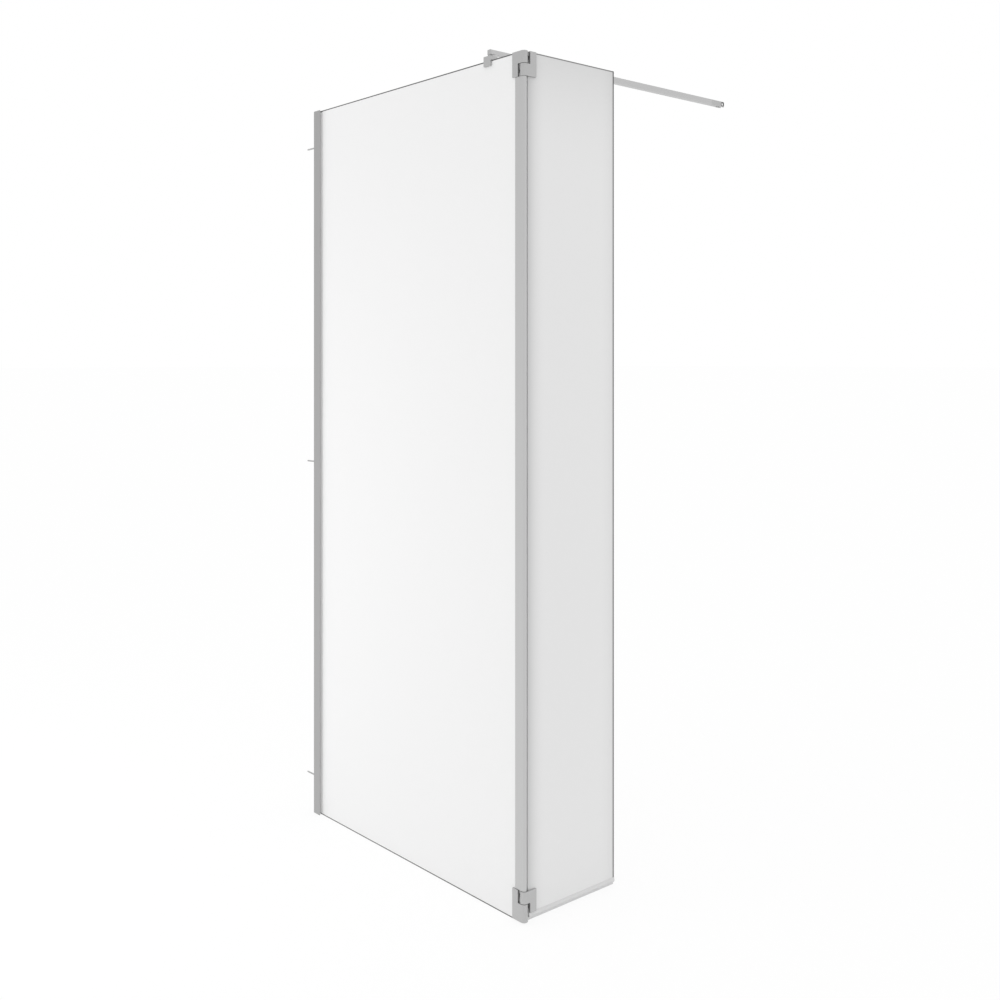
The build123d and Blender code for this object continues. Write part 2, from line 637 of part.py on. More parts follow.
def brace_pivot_washer():
    """The collar that keeps the bar clear of the clamp."""
    collar = upright(Circle(PIVOT_R) - Circle(PIVOT_SCREW_R + PRESS_GAP), CLAMP_TOP + RUN_GAP, BAR_FOOT)
    return Pos(CLAMP_X, PIVOT_Y, 0) * collar


# Brace tube


def brace_tube():
    tube = along_bar(tube_section(TUBE_SIDE, TUBE_WALL, TUBE_ROUND), TUBE_START, TUBE_END)
    foot = (CLAMP_X, LOCK_SCREW_Y, TUBE_FOOT)
    tube -= rod(LOCK_SCREW_R + PRESS_GAP, foot, (CLAMP_X, LOCK_SCREW_Y, TUBE_FOOT + TUBE_WALL))
    return tube - fork_screw_shape(PRESS_GAP)


def brace_lock_screw():
    """The screw under the tube that presses on the bar and holds the brace at its length."""
    mouth = (CLAMP_X, LOCK_SCREW_Y, TUBE_FOOT - LOCK_HEAD_H)
    head = rod(LOCK_HEAD_R, mouth, (CLAMP_X, LOCK_SCREW_Y, TUBE_FOOT))
    head = chamfer(head.edges().sort_by(Axis.Z)[0], EDGE)
    shank = rod(LOCK_SCREW_R, mouth, (CLAMP_X, LOCK_SCREW_Y, BAR_FOOT - RUN_GAP))
    return head + shank - hex_socket(mouth, (CLAMP_X, LOCK_SCREW_Y, TUBE_FOOT - LOCK_HEAD_H + HEX_DEPTH))


def brace_end_fork():
    """The end of the brace, flush with the tube, whose slot takes the tongue of a wall bracket."""
    inside = TUBE_SIDE - 2 * TUBE_WALL - 2 * FIT_GAP
    fork = along_bar(square_section(TUBE_SIDE, TUBE_ROUND), TUBE_END, BRACE_REACH)
    tip = fork.faces().sort_by(Axis.Y)[-1].edges().filter_by(Axis.X)
    fork = fillet(tip, FORK_CORNER)
    fork += along_bar(square_section(inside, EDGE), TUBE_END - FORK_PLUG, TUBE_END)
    half_slot = TUBE_SIDE / 2 - FORK_WALL
    slot_end = BRACE_REACH - FORK_SLOT_DEPTH + half_slot
    fork -= block((CLAMP_X - half_slot, CLAMP_X + half_slot), (slot_end, FAR), (0, FAR))
    fork -= rod(half_slot, (CLAMP_X, slot_end, 0), (CLAMP_X, slot_end, FAR))
    fork -= rod(EYE_BUSH_R + PRESS_GAP, (0, EYE_Y, BAR_Z), (FAR, EYE_Y, BAR_Z))
    return fork - fork_screw_shape(PRESS_GAP)


def brace_eye_bush(side):
    """The flanged lining of the eye in one wall of the fork: side -1 or 1."""
    outside = CLAMP_X + side * TUBE_SIDE / 2
    inside = outside - side * FORK_WALL
    lip = outside + side * EYE_BUSH_LIP
    bush = rod(EYE_BUSH_R, (inside, EYE_Y, BAR_Z), (lip, EYE_Y, BAR_Z))
    bush += rod(EYE_BUSH_LIP_R, (outside, EYE_Y, BAR_Z), (lip, EYE_Y, BAR_Z))
    return bush - rod(EYE_R, (inside, EYE_Y, BAR_Z), (lip, EYE_Y, BAR_Z))


def brace_eye_bushes():
    return gather(brace_eye_bush(side) for side in (-1, 1))


def fork_screw_shape(gap):
    """The countersunk screw through the tube's upper wall, or with a gap the hole that it sits in."""
    sunk = (CLAMP_X, FORK_SCREW_Y, TUBE_HEAD - TUBE_WALL)
    tip = (CLAMP_X, FORK_SCREW_Y, TUBE_HEAD - FORK_SCREW_LENGTH)
    head = cone(FORK_SCREW_HEAD_R + gap, FORK_SCREW_R + gap, (CLAMP_X, FORK_SCREW_Y, TUBE_HEAD), sunk)
    return head + rod(FORK_SCREW_R + gap, sunk, tip)


def brace_fork_screw():
    screw = fork_screw_shape(0)
    mouth = (CLAMP_X, FORK_SCREW_Y, TUBE_HEAD)
    return screw - hex_socket(mouth, (CLAMP_X, FORK_SCREW_Y, TUBE_HEAD - HEX_DEPTH))


def all_parts():
    parts = {
        "wall_channel": wall_channel(),
        "wall_screws": wall_screws(),
        "glass_channel": glass_channel(),
        "channel_seal_outer": channel_seal(-1),
        "channel_seal_inner": channel_seal(1),
        "adjust_screws": adjust_screws(),
        "adjust_screw_caps": adjust_screw_caps(),
        "main_glass": main_glass(),
        "corner_strip": corner_strip(),
        "return_glass": return_glass(),
        "return_drip_seal": return_drip_seal(),
        "brace_clamp_body": brace_clamp_body(),
        "brace_clamp_pads": brace_clamp_pads(),
        "brace_clamp_jaw": brace_clamp_jaw(),
        "brace_clamp_screws": brace_clamp_screws(),
        "brace_bar": brace_bar(),
        "brace_end_block": brace_end_block(),
        "brace_bar_plug": brace_bar_plug(),
        "brace_pivot_screw": brace_pivot_screw(),
        "brace_pivot_washer": brace_pivot_washer(),
        "brace_tube": brace_tube(),
        "brace_lock_screw": brace_lock_screw(),
        "brace_end_fork": brace_end_fork(),
        "brace_eye_bushes": brace_eye_bushes(),
        "brace_fork_screw": brace_fork_screw(),
    }
    parts.update(hinge_parts("top", TOP))
    parts.update(hinge_parts("bottom", BOTTOM))
    return parts


os.makedirs("parts", exist_ok=True)
for node, shape in all_parts().items():
    export_step(shape, f"parts/{node}.step")
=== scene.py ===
import bmesh
import bpy
import json
import math
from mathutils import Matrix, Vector

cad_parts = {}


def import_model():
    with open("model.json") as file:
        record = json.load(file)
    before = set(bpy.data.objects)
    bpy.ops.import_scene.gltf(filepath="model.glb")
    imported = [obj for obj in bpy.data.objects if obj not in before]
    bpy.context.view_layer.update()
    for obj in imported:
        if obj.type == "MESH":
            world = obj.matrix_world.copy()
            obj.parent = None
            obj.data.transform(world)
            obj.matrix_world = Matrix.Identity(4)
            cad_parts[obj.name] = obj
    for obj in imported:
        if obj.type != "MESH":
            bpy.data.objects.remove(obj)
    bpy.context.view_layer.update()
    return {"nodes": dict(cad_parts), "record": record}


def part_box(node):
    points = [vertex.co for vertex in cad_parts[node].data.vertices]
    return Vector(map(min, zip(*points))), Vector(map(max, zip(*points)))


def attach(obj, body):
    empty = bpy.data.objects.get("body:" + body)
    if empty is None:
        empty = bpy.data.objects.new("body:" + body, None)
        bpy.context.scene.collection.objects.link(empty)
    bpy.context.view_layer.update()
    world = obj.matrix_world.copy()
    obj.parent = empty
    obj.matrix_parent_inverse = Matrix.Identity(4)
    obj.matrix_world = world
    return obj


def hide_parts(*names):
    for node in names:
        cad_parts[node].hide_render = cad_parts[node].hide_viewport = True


# Walk-in shower screen: satin glass panels, satin silver profiles and hinges, pale seals, a brace bar.
# Metres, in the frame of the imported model.

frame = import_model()
nodes = frame["nodes"]
MM = 0.001

# Camera, as the photograph was taken: level, with the frame shifted down
CAMERA_PLACE = (2.8609, -1.7917, 1.2908)
CAMERA_TURN = (90.0, 0.0, 49.05)  # degrees about X, Y and Z
LENS = 41.94
SENSOR = 36.0
FRAME_SHIFT = -0.1398

# Studio
FLOOR_SIZE = 400.0
FLOOR_WHITE = 0.9
FLOOR_GLOW = 1.03  # strength of the floor's own white, as the camera sees it
FLOOR_SHADE = 0.15  # share of the floor's colour that takes light and shadow
WORLD_LEVEL = 0.871  # light on the object, where the camera sees plain white
CEILING_LEVEL = 0.9  # how bright metal sees the studio above
CEILING_FROM = 0.3  # upward part of a direction that meets the ceiling
BRIGHT_SIDE = (0.7071, 0.7071, 0.0)  # halfway between +X and +Y
SIDE_GAIN = 0.04  # how much brighter metal sees that side, and darker the other

# Key light: a disc in front of the main glass's plane, past its wall end, that faces that plane
KEY_POWER = 10.4
KEY_SIZE = 1.6
KEY_PLACE = (-0.6, -2.2, 0.9)
KEY_AIM = (-0.6, 0.0, 0.9)

# Glass lines and painted shade: each has a width, a depth as a share of the colour, and a gain or power for
# how it fades
GLASS_IOR = 1.5
FAR = 1000.0  # a side of a shade's box that lies out of reach
OPEN_LOW = (-FAR, -FAR, -FAR)
OPEN_HIGH = (FAR, FAR, FAR)
WIDE = 1.0  # width given to the directions that a shade doesn't use
EDGE_FACE_EASE = 0.5  # share of a shade that a ground edge itself is spared
EDGE_LINE = 4.0 * MM
EDGE_LINE_GAIN = 2.3
MAIN_LINE_DEPTH = 0.97
RETURN_LINE_DEPTH = 0.75
FREE_EDGE_LINE = 6.6 * MM
FREE_LINE_GAIN = 1.5
FREE_LINE_DEPTH = 0.97
# Painted shade: the main glass darkened inside the channel's mouth
CHANNEL_PAINTED_SHADE_GAIN = 6.0
CHANNEL_PAINTED_SHADE_DEPTH = 0.8
# Painted shade on the return glass beside the strip, where the strip keeps light off it
STRIP_PAINTED_SHADE = 60 * MM
STRIP_PAINTED_SHADE_DEPTH = 0.3
# Painted shade: the return glass darker towards its top
TOP_PAINTED_SHADE = 300 * MM
TOP_PAINTED_SHADE_DEPTH = 0.13
# Painted shade: the return glass darker towards its free edge
FREE_SIDE_PAINTED_SHADE = 60 * MM
FREE_SIDE_PAINTED_SHADE_DEPTH = 0.1
SOFT_POWER = 2.5

# Wall screws
SCREW_R = 2.25 * MM
SCREW_TIP_R = 0.3 * MM
SCREW_POINT = 6.0 * MM
THREAD_PITCH = 1.8 * MM
THREAD_DEPTH = 0.55 * MM
THREAD_FLANK = 0.25  # share of a turn that each flank takes
THREAD_STEPS = 24
RINGS_A_TURN = 8
PLAIN_NECK = 4.0 * MM
HEAD_BEVEL = 0.8 * MM
HEX_R = 1.5 * MM
HEX_DEPTH = 1.4 * MM
HEX_SIDES = 6
HEAD_RIM = 0.8  # share of the head's radius, past which a point belongs to the head
WELD_GAP = 0.001 * MM
SHARP_ANGLE = 35.0


# Shader helpers

FLOAT = "NodeSocketFloat"
COLOR = "NodeSocketColor"
VECTOR = "NodeSocketVector"


def wire(tree, source, target):
    tree.links.new(source, target)


def feed(tree, socket, value):
    """Link a socket to another node's output, or set its plain value."""
    if isinstance(value, bpy.types.NodeSocket):
        wire(tree, value, socket)
    elif value is not None:
        socket.default_value = value


def node(tree, kind, **values):
    """A shader node with its properties set, and its unlinked inputs by name."""
    made = tree.nodes.new(kind)
    for name, value in values.items():
        if hasattr(made, name):
            setattr(made, name, value)
        else:
            made.inputs[name.replace("_", " ")].default_value = value
    return made


def math_node(tree, operation, first, second=None, clamp=False):
    made = node(tree, "ShaderNodeMath", operation=operation, use_clamp=clamp)
    feed(tree, made.inputs[0], first)
    feed(tree, made.inputs[1], second)
    return made.outputs[0]


def vector_node(tree, operation, first, second=None):
    made = node(tree, "ShaderNodeVectorMath", operation=operation)
    feed(tree, made.inputs[0], first)
    feed(tree, made.inputs[1], second)
    return made.outputs["Value" if operation == "DOT_PRODUCT" else "Vector"]


def scaled_color(tree, color, gain):
    made = node(tree, "ShaderNodeVectorMath", operation="SCALE")
    wire(tree, color, made.inputs[0])
    wire(tree, gain, made.inputs["Scale"])
    return made.outputs["Vector"]


def noise_swing(tree, noise):
    """A noise of 0 to 1, turned into a swing of -1 to 1."""
    doubled = math_node(tree, "MULTIPLY", noise.outputs[0], 2.0)
    return math_node(tree, "SUBTRACT", doubled, 1.0)


def varied_color(tree, given, swing):
    """A group's own colour, lightened and darkened by a swing."""
    change = math_node(tree, "MULTIPLY", swing, given.outputs["Color Change"])
    gain = math_node(tree, "ADD", change, 1.0)
    return scaled_color(tree, given.outputs["Color"], gain)


def new_group(name, inputs, outputs):
    """An empty shader node group with named sockets: returns its tree, input node and output node."""
    tree = bpy.data.node_groups.new(name, "ShaderNodeTree")
    for label, (kind, value) in inputs.items():
        socket = tree.interface.new_socket(label, in_out="INPUT", socket_type=kind)
        socket.default_value = value
    for label, kind in outputs.items():
        tree.interface.new_socket(label, in_out="OUTPUT", socket_type=kind)
    return tree, tree.nodes.new("NodeGroupInput"), tree.nodes.new("NodeGroupOutput")


def place_group(tree, group, **values):
    """A group placed in a tree, with its unlinked inputs set by name."""
    made = tree.nodes.new("ShaderNodeGroup")
    made.node_tree = group
    for name, value in values.items():
        made.inputs[name.replace("_", " ")].default_value = value
    return made


def mottle_group():
    """Cloudy variation of a colour and a roughness, on the object's own coordinates."""
    inputs = {
        "Color": (COLOR, (0.5, 0.5, 0.5, 1)),
        "Roughness": (FLOAT, 0.4),
        "Scale": (FLOAT, 6.0),
        "Color Change": (FLOAT, 0.03),
        "Roughness Change": (FLOAT, 0.05),
    }
    tree, given, made = new_group("mottle", inputs, {"Color": COLOR, "Roughness": FLOAT})
    place = node(tree, "ShaderNodeTexCoord")
    cloud = node(tree, "ShaderNodeTexNoise", Detail=4.0, Roughness=0.6)
    wire(tree, place.outputs["Object"], cloud.inputs["Vector"])
    wire(tree, given.outputs["Scale"], cloud.inputs["Scale"])
    swing = noise_swing(tree, cloud)
    wire(tree, varied_color(tree, given, swing), made.inputs["Color"])
    rough = math_node(tree, "MULTIPLY", swing, given.outputs["Roughness Change"])
    rough = math_node(tree, "ADD", rough, given.outputs["Roughness"])
    wire(tree, rough, made.inputs["Roughness"])
    return tree


def draw_lines_group():
    """Fine lines left by a die or a brush: a noise stretched along one axis of the object."""
    inputs = {
        "Color": (COLOR, (0.5, 0.5, 0.5, 1)),
        "Stretch": (VECTOR, (900.0, 900.0, 6.0)),
        "Depth": (FLOAT, 0.00001),
        "Color Change": (FLOAT, 0.04),
    }
    tree, given, made = new_group("draw_lines", inputs, {"Color": COLOR, "Height": FLOAT})
    place = node(tree, "ShaderNodeTexCoord")
    stretched = vector_node(tree, "MULTIPLY", place.outputs["Object"], given.outputs["Stretch"])
    lines = node(tree, "ShaderNodeTexNoise", Scale=1.0, Detail=2.0)
    wire(tree, stretched, lines.inputs["Vector"])
    wire(tree, varied_color(tree, given, noise_swing(tree, lines)), made.inputs["Color"])
    wire(tree, math_node(tree, "MULTIPLY", lines.outputs[0], given.outputs["Depth"]), made.inputs["Height"])
    return tree


def grit_group():
    """A fine even grain, as on etched glass, cast metal or moulded plastic."""
    inputs = {"Scale": (FLOAT, 900.0), "Depth": (FLOAT, 0.00001)}
    tree, given, made = new_group("grit", inputs, {"Height": FLOAT})
    place = node(tree, "ShaderNodeTexCoord")
    grain = node(tree, "ShaderNodeTexNoise", Detail=2.0)
    wire(tree, place.outputs["Object"], grain.inputs["Vector"])
    wire(tree, given.outputs["Scale"], grain.inputs["Scale"])
    wire(tree, math_node(tree, "MULTIPLY", grain.outputs[0], given.outputs["Depth"]), made.inputs["Height"])
    return tree


def edge_shade_group():
    """Darken a colour near the sides of a box, and less on faces that look along Across: the glass's ground
    edge lines and its painted shade.
    """
    inputs = {
        "Color": (COLOR, (0.5, 0.5, 0.5, 1)),
        "Low": (VECTOR, (0, 0, 0)),
        "High": (VECTOR, (1, 1, 1)),
        "Width": (VECTOR, (0.003, 0.003, 0.003)),
        "Gain": (FLOAT, 1.0),
        "Power": (FLOAT, 1.0),
        "Depth": (FLOAT, 0.5),
        "Across": (VECTOR, (0, 0, 1)),
    }
    tree, given, made = new_group("edge_shade", inputs, {"Color": COLOR})
    place = node(tree, "ShaderNodeTexCoord")
    here = place.outputs["Object"]
    shares = []
    for first, second in ((here, given.outputs["Low"]), (given.outputs["High"], here)):
        gap = vector_node(tree, "SUBTRACT", first, second)
        share = vector_node(tree, "DIVIDE", gap, given.outputs["Width"])
        apart = node(tree, "ShaderNodeSeparateXYZ")
        wire(tree, share, apart.inputs[0])
        shares += list(apart.outputs)
    nearest = shares[0]
    for share in shares[1:]:
        nearest = math_node(tree, "MINIMUM", nearest, share)
    mask = math_node(tree, "SUBTRACT", 1.0, nearest, clamp=True)
    mask = math_node(tree, "MULTIPLY", mask, given.outputs["Gain"], clamp=True)
    mask = math_node(tree, "POWER", mask, given.outputs["Power"])
    facing = vector_node(tree, "ABSOLUTE", place.outputs["Normal"])
    edge_face = vector_node(tree, "DOT_PRODUCT", facing, given.outputs["Across"])
    spared = math_node(tree, "MULTIPLY", edge_face, EDGE_FACE_EASE, clamp=True)
    kept = math_node(tree, "SUBTRACT", 1.0, spared)
    mask = math_node(tree, "MULTIPLY", mask, kept)
    loss = math_node(tree, "MULTIPLY", mask, given.outputs["Depth"])
    gain = math_node(tree, "SUBTRACT", 1.0, loss)
    wire(tree, scaled_color(tree, given.outputs["Color"], gain), made.inputs["Color"])
    return tree


MOTTLE = mottle_group()
DRAW_LINES = draw_lines_group()
GRIT = grit_group()
EDGE_SHADE = edge_shade_group()


# Materials


def grey(level):
    return (level, level, level, 1.0)


def new_material(name):
    """A material with its Principled shader: returns the material, its tree and the shader."""
    made = bpy.data.materials.new(name)
    made.use_nodes = True
    return made, made.node_tree, made.node_tree.nodes["Principled BSDF"]


def bump(tree, shader, height):
    made = node(tree, "ShaderNodeBump", Strength=1.0, Distance=1.0)
    wire(tree, height, made.inputs["Height"])
    wire(tree, made.outputs["Normal"], shader.inputs["Normal"])


def clouded(tree, shader, level, roughness, scale, color_change, roughness_change):
    """Give the shader a gently varying roughness, and return a grey that varies in the same way."""
    cloud = place_group(
        tree, MOTTLE, Color=grey(level), Roughness=roughness, Scale=scale, Color_Change=color_change,
        Roughness_Change=roughness_change,
    )
    wire(tree, cloud.outputs["Roughness"], shader.inputs["Roughness"])
    return cloud.outputs["Color"]


def satin_glass(name, level, shades):
    """Etched glass that reads as milky white and darker at its ground edges; its other bands are painted
    shade.
    """
    made, tree, shader = new_material(name)
    color = clouded(tree, shader, level, roughness=0.42, scale=1.6, color_change=0.006, roughness_change=0.05)
    for values in shades:
        band = place_group(tree, EDGE_SHADE, **values)
        wire(tree, color, band.inputs["Color"])
        color = band.outputs["Color"]
    wire(tree, color, shader.inputs["Base Color"])
    shader.inputs["IOR"].default_value = GLASS_IOR
    grain = place_group(tree, GRIT, Scale=1400.0, Depth=0.006 * MM)
    bump(tree, shader, grain.outputs["Height"])
    return made


def anodised(name, level, stretch):
    """Satin anodised aluminium with the faint lines of its die along the profile."""
    made, tree, shader = new_material(name)
    color = clouded(tree, shader, level, roughness=0.4, scale=3.0, color_change=0.015, roughness_change=0.05)
    lines = place_group(tree, DRAW_LINES, Stretch=stretch, Depth=0.008 * MM, Color_Change=0.03)
    wire(tree, color, lines.inputs["Color"])
    wire(tree, lines.outputs["Color"], shader.inputs["Base Color"])
    shader.inputs["Metallic"].default_value = 1.0
    bump(tree, shader, lines.outputs["Height"])
    return made


def grained_metal(name, level, metallic, roughness, cloud_scale, grain_scale, grain_depth):
    """Plated or turned metal with a fine even grain."""
    made, tree, shader = new_material(name)
    color = clouded(tree, shader, level, roughness, cloud_scale, color_change=0.02, roughness_change=0.06)
    wire(tree, color, shader.inputs["Base Color"])
    shader.inputs["Metallic"].default_value = metallic
    grain = place_group(tree, GRIT, Scale=grain_scale, Depth=grain_depth)
    bump(tree, shader, grain.outputs["Height"])
    return made


def moulded(name, level, roughness, grain_depth):
    """Plastic or rubber with a fine moulded grain."""
    made, tree, shader = new_material(name)
    color = clouded(tree, shader, level, roughness, scale=30.0, color_change=0.03, roughness_change=0.05)
    wire(tree, color, shader.inputs["Base Color"])
    grain = place_group(tree, GRIT, Scale=1200.0, Depth=grain_depth)
    bump(tree, shader, grain.outputs["Height"])
    return made


def shade(width, depth, across, low=OPEN_LOW, high=OPEN_HIGH, gain=1.0, power=1.0):
    """One band inside a box's sides, a ground edge line or painted shade: the values that the edge shade
    group takes.

    across names the directions in which the glass's ground edges look.
    """
    return {
        "Width": width,
        "Depth": depth,
        "Across": across,
        "Low": low,
        "High": high,
        "Gain": gain,
        "Power": power,
    }


def main_glass_shades():
    """The thin dark lines at the top and bottom, and painted shade in the mouth of the channel."""
    low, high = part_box("main_glass")
    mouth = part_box("channel_seal_outer")[1].x
    across = (0.0, 0.0, 1.0)
    ground_edges = shade(
        width=(WIDE, WIDE, EDGE_LINE), depth=MAIN_LINE_DEPTH, across=across, gain=EDGE_LINE_GAIN,
        low=(-FAR, -FAR, low.z), high=(FAR, FAR, high.z),
    )
    # painted shade: the glass darkened in the channel's mouth, where only shade falls
    channel_painted_shade = shade(
        width=(mouth - low.x, WIDE, WIDE), depth=CHANNEL_PAINTED_SHADE_DEPTH, across=across, gain=CHANNEL_PAINTED_SHADE_GAIN,
        low=(low.x, -FAR, -FAR),
    )
    return [ground_edges, channel_painted_shade]


def return_glass_shades():
    """The dark lines at the top, bottom and free edge, and soft painted shade by the strip, the top and that
    edge.
    """
    low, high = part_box("return_glass")
    across = (0.0, 1.0, 1.0)
    ground_edges = shade(
        width=(WIDE, WIDE, EDGE_LINE), depth=RETURN_LINE_DEPTH, across=across, gain=EDGE_LINE_GAIN,
        low=(-FAR, -FAR, low.z), high=(FAR, FAR, high.z),
    )
    free_edge = shade(
        width=(WIDE, FREE_EDGE_LINE, WIDE), depth=FREE_LINE_DEPTH, across=across, gain=FREE_LINE_GAIN,
        high=(FAR, high.y, FAR),
    )
    # painted shade: the return glass darkened beside the strip
    strip_painted_shade = shade(
        width=(WIDE, STRIP_PAINTED_SHADE, WIDE), depth=STRIP_PAINTED_SHADE_DEPTH, across=across, power=SOFT_POWER,
        low=(-FAR, low.y, -FAR),
    )
    # painted shade: the return glass darkened towards its top
    top = shade(
        width=(WIDE, WIDE, TOP_PAINTED_SHADE), depth=TOP_PAINTED_SHADE_DEPTH, across=across, power=SOFT_POWER,
        high=(FAR, FAR, high.z),
    )
    # painted shade: the return glass darkened towards its free edge
    free_side_painted_shade = shade(
        width=(WIDE, FREE_SIDE_PAINTED_SHADE, WIDE), depth=FREE_SIDE_PAINTED_SHADE_DEPTH, across=across, power=SOFT_POWER,
        high=(FAR, high.y, FAR),
    )
    return [ground_edges, free_edge, strip_painted_shade, top, free_side_painted_shade]


# Lines of the die to a metre, along X, Y and Z: few along the length of the profile
ALONG_Z = (900.0, 900.0, 5.0)
ALONG_Y = (900.0, 5.0, 900.0)
STEEL = grained_metal(
    "stainless_steel", level=0.55, metallic=1.0, roughness=0.3, cloud_scale=40.0, grain_scale=2500.0,
    grain_depth=0.004 * MM,
)
HARDWARE = grained_metal(
    "satin_hardware", level=0.515, metallic=0.85, roughness=0.36, cloud_scale=20.0, grain_scale=1800.0,
    grain_depth=0.006 * MM,
)
BAR_FINISH = anodised("anodised_bar", level=0.58, stretch=ALONG_Y)

BY_NODE = {
    "main_glass": satin_glass("satin_glass_main", level=0.93, shades=main_glass_shades()),
    # the return pane's slightly darker grey than the main pane is painted shade of its side turned from the
    # key light
    "return_glass": satin_glass("satin_glass_return", level=0.915, shades=return_glass_shades()),
    "corner_strip": anodised("anodised_strip", level=0.58, stretch=ALONG_Z),
    "brace_bar": BAR_FINISH,
    "brace_tube": BAR_FINISH,
    "brace_pivot_washer": moulded("washer_grey", level=0.42, roughness=0.5, grain_depth=0.01 * MM),
}
BY_SLOT = {
    "satin_aluminium": anodised("anodised_channel", level=0.45, stretch=ALONG_Z),
    "satin_hardware": HARDWARE,
    "stainless_steel": STEEL,
    "grey_seal": moulded("seal_grey", level=0.62, roughness=0.55, grain_depth=0.01 * MM),
    "clear_seal": moulded("seal_clear", level=0.79, roughness=0.4, grain_depth=0.008 * MM),
    "rubber_pads": moulded("pad_rubber", level=0.5, roughness=0.7, grain_depth=0.02 * MM),
    "black_plastic": moulded("plastic_dark", level=0.16, roughness=0.45, grain_depth=0.01 * MM),
    "cap_plastic": moulded("cap_grey", level=0.48, roughness=0.35, grain_depth=0.01 * MM),
}


def dress_nodes():
    """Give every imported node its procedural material."""
    slots = {part["node"]: part["material_slot"] for part in frame["record"]["subparts"]}
    for name, piece in nodes.items():
        piece.data.materials.clear()
        piece.data.materials.append(BY_NODE.get(name) or BY_SLOT[slots[name]])


# Wall screws


def solids_of(name):
    """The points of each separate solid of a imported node, lowest solid first."""
    body = bmesh.new()
    body.from_mesh(nodes[name].data)
    bmesh.ops.remove_doubles(body, verts=body.verts, dist=WELD_GAP)
    left = set(body.verts)
    solids = []
    while left:
        front = [left.pop()]
        points = []
        while front:
            vert = front.pop()
            points.append(vert.co.copy())
            for edge in vert.link_edges:
                other = edge.other_vert(vert)
                if other in left:
                    left.discard(other)
                    front.append(other)
        solids.append(points)
    body.free()
    return sorted(solids, key=lambda points: points[0].z)


def thread_radius(along, angle):
    """Radius of the screw at a distance from its tip and at an angle round it."""
    grown = min(1.0, along / SCREW_POINT)
    turn = (along / THREAD_PITCH - angle / math.tau) % 1.0
    crest = max(0.0, 1.0 - abs(turn - 0.5) / THREAD_FLANK)
    outer = SCREW_TIP_R + (SCREW_R - SCREW_TIP_R) * grown
    return outer - THREAD_DEPTH * grown * (1.0 - crest)


def hex_radius(angle):
    """Radius of a hexagon's outline at an angle round it."""
    side = math.tau / HEX_SIDES
    return HEX_R * math.cos(side / 2) / math.cos(angle % side - side / 2)


def middle(values):
    return (min(values) + max(values)) / 2


def screw_rings(points):
    """Rings of one screw from its tip to the bottom of its socket: places along X, radii round it."""
    xs, ys, zs = zip(*points)
    tip = min(xs)
    top = max(xs)
    axis_y = middle(ys)
    axis_z = middle(zs)
    head_r = (max(ys) - min(ys)) / 2
    head = min(x for x, y in zip(xs, ys) if abs(y - axis_y) > HEAD_RIM * head_r)
    step = THREAD_PITCH / RINGS_A_TURN
    angles = [math.tau * i / THREAD_STEPS for i in range(THREAD_STEPS)]
    shank = SCREW_R - THREAD_DEPTH / 2
    rings = []
    for i in range(int((head - PLAIN_NECK - tip) / step)):
        rings.append((tip + i * step, [thread_radius(i * step, angle) for angle in angles]))
    plain = [
        (head - PLAIN_NECK, shank),
        (head, shank),
        (head, head_r),
        (top - HEAD_BEVEL, head_r),
        (top, head_r - HEAD_BEVEL),
    ]
    rings += [(x, [radius] * THREAD_STEPS) for x, radius in plain]
    hexagon = [hex_radius(angle) for angle in angles]
    rings += [(top, hexagon), (top - HEX_DEPTH, hexagon)]
    return [
        [(x, axis_y + r * math.cos(a), axis_z + r * math.sin(a)) for r, a in zip(radii, angles)]
        for x, radii in rings
    ]


def wall_screws():
    """Three threaded screws in place of the plain ones, with a hexagon socket in each head."""
    body = bmesh.new()
    for points in solids_of("wall_screws"):
        rings = [[body.verts.new(place) for place in ring] for ring in screw_rings(points)]
        for lower, upper in zip(rings, rings[1:]):
            for i in range(THREAD_STEPS):
                j = (i + 1) % THREAD_STEPS
                body.faces.new((lower[i], lower[j], upper[j], upper[i]))
        body.faces.new(list(reversed(rings[0])))
        body.faces.new(rings[-1])
    bmesh.ops.recalc_face_normals(body, faces=body.faces)
    mesh = bpy.data.meshes.new("wall_screws_threaded")
    body.to_mesh(mesh)
    body.free()
    mesh.shade_smooth()
    mesh.set_sharp_from_angle(angle=math.radians(SHARP_ANGLE))
    made = bpy.data.objects.new("wall_screws_threaded", mesh)
    mesh.materials.append(STEEL)
    bpy.context.scene.collection.objects.link(made)
    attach(made, "wall_profile")
    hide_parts("wall_screws")


dress_nodes()
wall_screws()


# Studio


def floor_material():
    """White to the camera, yet it still takes the object's shadow."""
    made = bpy.data.materials.new("studio_floor")
    made.use_nodes = True
    tree = made.node_tree
    tree.nodes.clear()
    matt = node(tree, "ShaderNodeBsdfDiffuse", Color=grey(FLOOR_WHITE))
    glow = node(tree, "ShaderNodeEmission", Color=grey(1.0), Strength=FLOOR_GLOW)
    ray = node(tree, "ShaderNodeLightPath")
    seen = math_node(tree, "MAXIMUM", ray.outputs["Is Camera Ray"], ray.outputs["Is Glossy Ray"])
    seen = math_node(tree, "MAXIMUM", seen, ray.outputs["Is Transmission Ray"])
    share = math_node(tree, "MULTIPLY", seen, 1.0 - FLOOR_SHADE)
    mix = node(tree, "ShaderNodeMixShader")
    out = node(tree, "ShaderNodeOutputMaterial")
    wire(tree, share, mix.inputs[0])
    wire(tree, matt.outputs[0], mix.inputs[1])
    wire(tree, glow.outputs[0], mix.inputs[2])
    wire(tree, mix.outputs[0], out.inputs["Surface"])
    return made


def floor():
    mesh = bpy.data.meshes.new("studio_floor")
    half = FLOOR_SIZE / 2
    corners = [(-half, -half, 0), (half, -half, 0), (half, half, 0), (-half, half, 0)]
    mesh.from_pydata(corners, [], [(0, 1, 2, 3)])
    made = bpy.data.objects.new("studio_floor", mesh)
    made.data.materials.append(floor_material())
    bpy.context.scene.collection.objects.link(made)


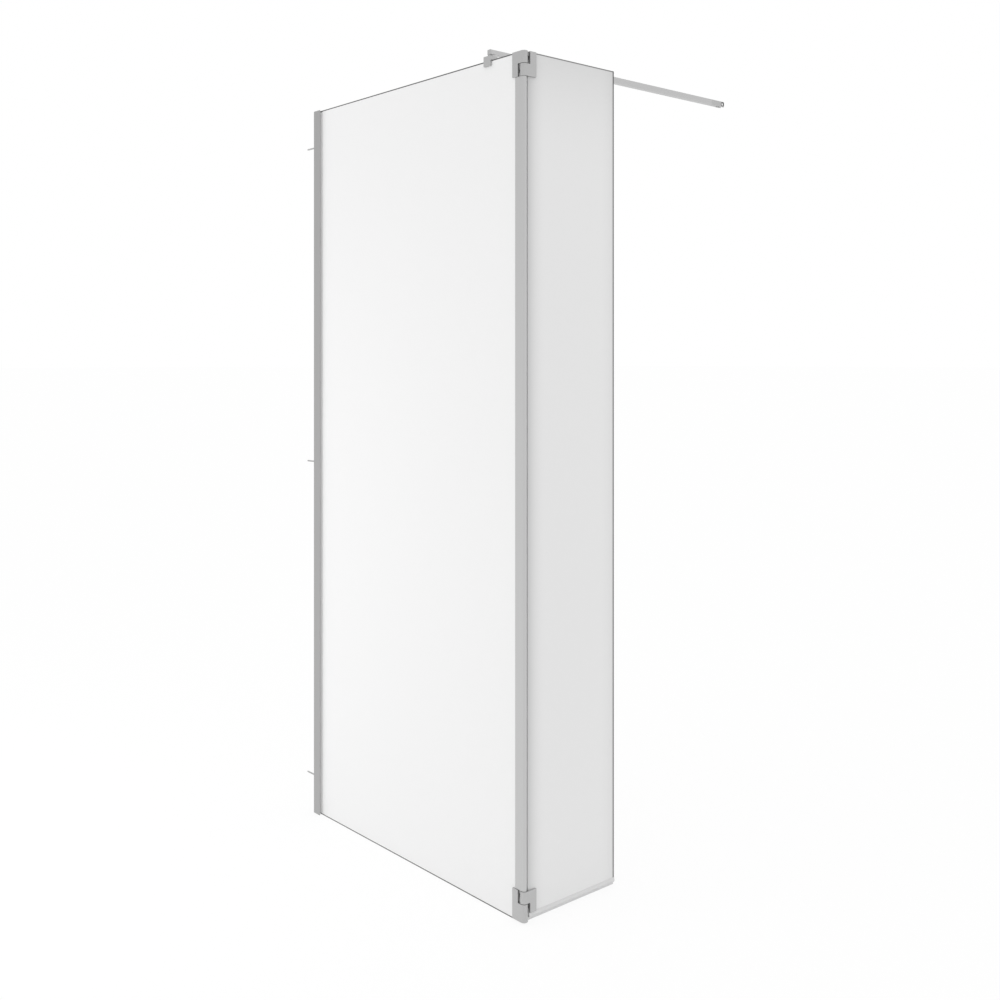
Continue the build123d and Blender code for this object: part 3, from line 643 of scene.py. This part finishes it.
def world():
    """Even light, white to the camera. Metal mirrors a darker ceiling and one slightly brighter side."""
    made = bpy.data.worlds.new("studio")
    bpy.context.scene.world = made
    made.use_nodes = True
    tree = made.node_tree
    tree.nodes.clear()
    ray = node(tree, "ShaderNodeLightPath")
    facing = node(tree, "ShaderNodeTexCoord").outputs["Generated"]
    apart = node(tree, "ShaderNodeSeparateXYZ")
    wire(tree, facing, apart.inputs[0])
    above = math_node(tree, "DIVIDE", apart.outputs["Z"], CEILING_FROM, clamp=True)
    side = vector_node(tree, "DOT_PRODUCT", facing, BRIGHT_SIDE)
    lean = math_node(tree, "MULTIPLY", side, SIDE_GAIN)
    mirrored = math_node(tree, "MULTIPLY", above, CEILING_LEVEL - 1.0)
    mirrored = math_node(tree, "ADD", mirrored, lean)
    mirrored = math_node(tree, "ADD", mirrored, 1.0 - WORLD_LEVEL)
    mirrored = math_node(tree, "MULTIPLY", mirrored, ray.outputs["Is Glossy Ray"])
    level = math_node(tree, "ADD", mirrored, WORLD_LEVEL)
    seen = math_node(tree, "MAXIMUM", ray.outputs["Is Camera Ray"], ray.outputs["Is Transmission Ray"])
    level = math_node(tree, "MAXIMUM", level, seen)
    sky = node(tree, "ShaderNodeBackground", Color=grey(1.0))
    wire(tree, level, sky.inputs["Strength"])
    out = node(tree, "ShaderNodeOutputWorld")
    wire(tree, sky.outputs[0], out.inputs["Surface"])


def key_light():
    lamp = bpy.data.lights.new("key", "AREA")
    lamp.shape = "DISK"
    lamp.size = KEY_SIZE
    lamp.energy = KEY_POWER
    made = bpy.data.objects.new("key", lamp)
    made.location = KEY_PLACE
    made.rotation_mode = "QUATERNION"
    made.rotation_quaternion = (Vector(KEY_AIM) - Vector(KEY_PLACE)).to_track_quat("-Z", "Y")
    made.visible_camera = False
    made.visible_glossy = False
    bpy.context.scene.collection.objects.link(made)


def camera():
    lens = bpy.data.cameras.new("camera")
    lens.lens = LENS
    lens.sensor_width = SENSOR
    lens.shift_y = FRAME_SHIFT
    made = bpy.data.objects.new("camera", lens)
    made.location = CAMERA_PLACE
    made.rotation_euler = [math.radians(angle) for angle in CAMERA_TURN]
    bpy.context.scene.collection.objects.link(made)
    bpy.context.scene.camera = made


floor()
world()
key_light()
camera()
bpy.context.scene.view_settings.view_transform = "Standard"
